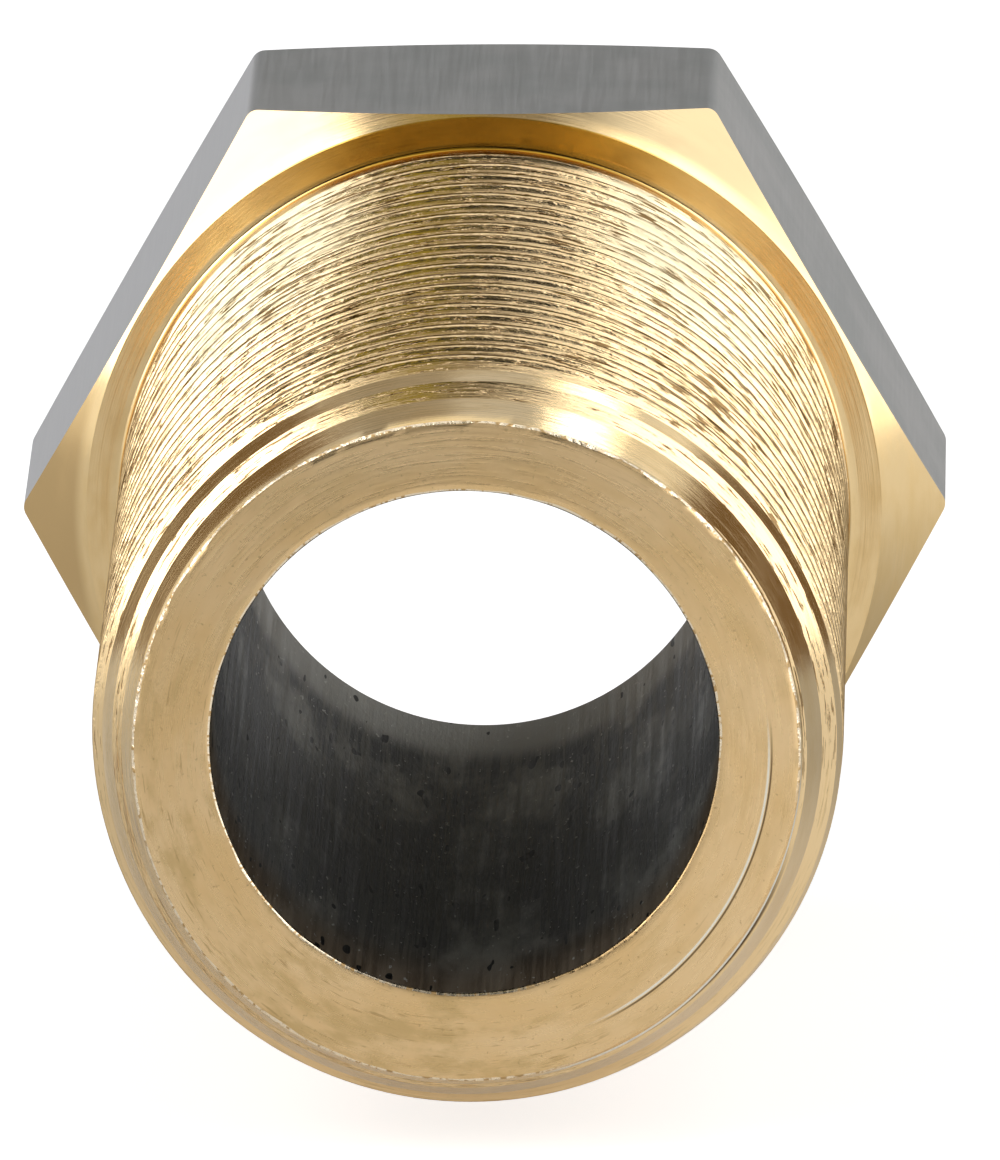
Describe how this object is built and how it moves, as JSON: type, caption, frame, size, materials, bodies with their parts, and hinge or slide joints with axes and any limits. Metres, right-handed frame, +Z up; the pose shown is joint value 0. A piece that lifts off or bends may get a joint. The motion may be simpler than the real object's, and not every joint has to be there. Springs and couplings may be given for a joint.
{
  "type": "male-female pipe nipple",
  "caption": "Long threaded stub and short hexagon with a female thread, turned as one piece from hollow brass hexagon bar.",
  "frame": {"origin": "centre of the bounding box's underside: the part lies on one flat of its hexagon, and the origin is on that flat's plane below the middle of the length", "axes": "+Y along the part's axis from the male end towards the female end, +Z up through the top flat of the hexagon, +X across the corners of the hexagon"},
  "size_m": [0.0262, 0.0544, 0.0228],
  "materials": {
    "brass": "turned brass, with the grey drawn skin of the bar left on the hexagon's flats and in the bore"
  },
  "bodies": {
    "root": {"nipple_body": "brass"}
  },
  "joints": []
}
